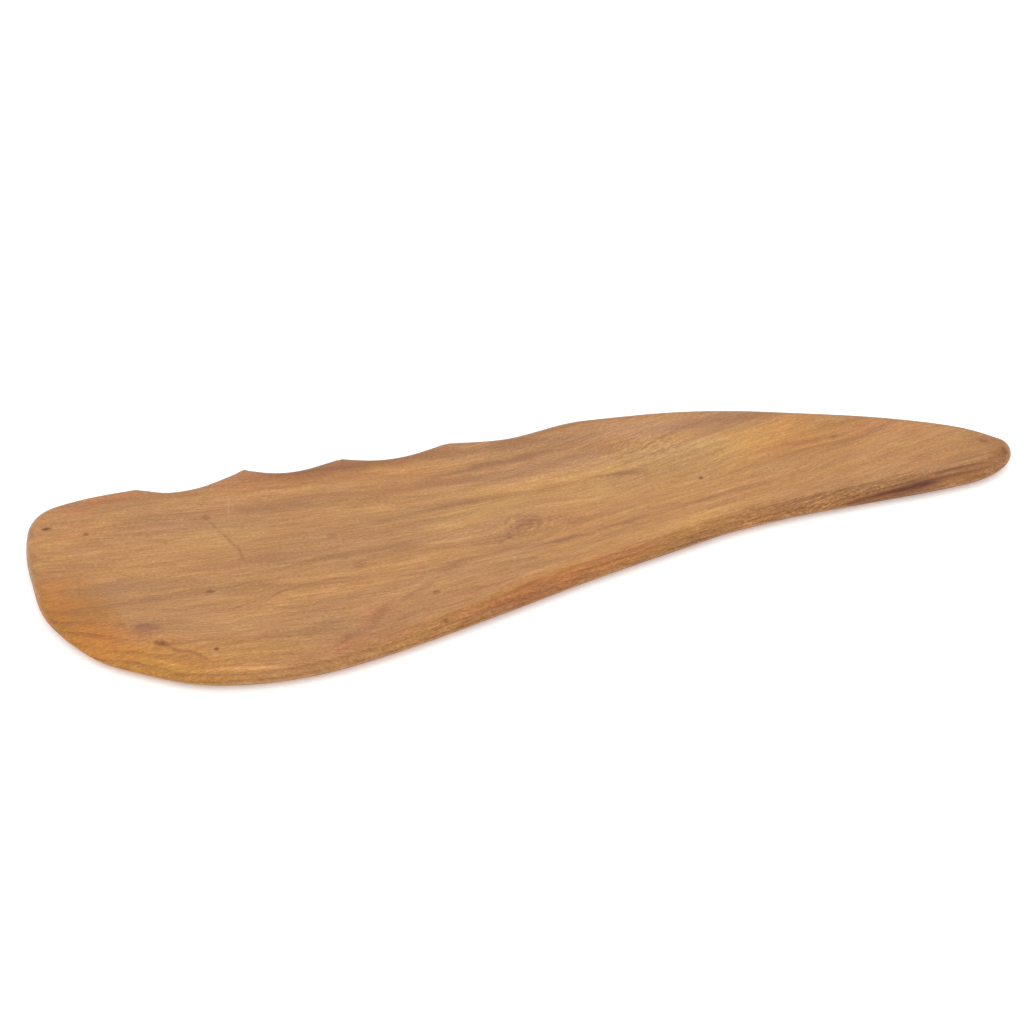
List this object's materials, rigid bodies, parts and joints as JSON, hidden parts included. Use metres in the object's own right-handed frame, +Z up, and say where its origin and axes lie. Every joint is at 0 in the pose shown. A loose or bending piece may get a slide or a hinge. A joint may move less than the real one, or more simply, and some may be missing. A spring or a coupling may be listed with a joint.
{
  "type": "transfer board",
  "caption": "Flat hand-shaped wooden transfer board with a broad butt, a narrow curved tip, rolled edges and finger scallops along one long edge.",
  "frame": {"origin": "middle of the underside, at the centre of the board's bounding box in plan", "axes": "+X along the length towards the narrow tip, +Y towards the edge with the hand grips, +Z up out of the top face"},
  "size_m": [0.76, 0.25, 0.018],
  "materials": {
    "wood": "oiled satin, light orange-brown, grain along the board"
  },
  "bodies": {
    "root": {"board": "wood"}
  },
  "joints": []
}
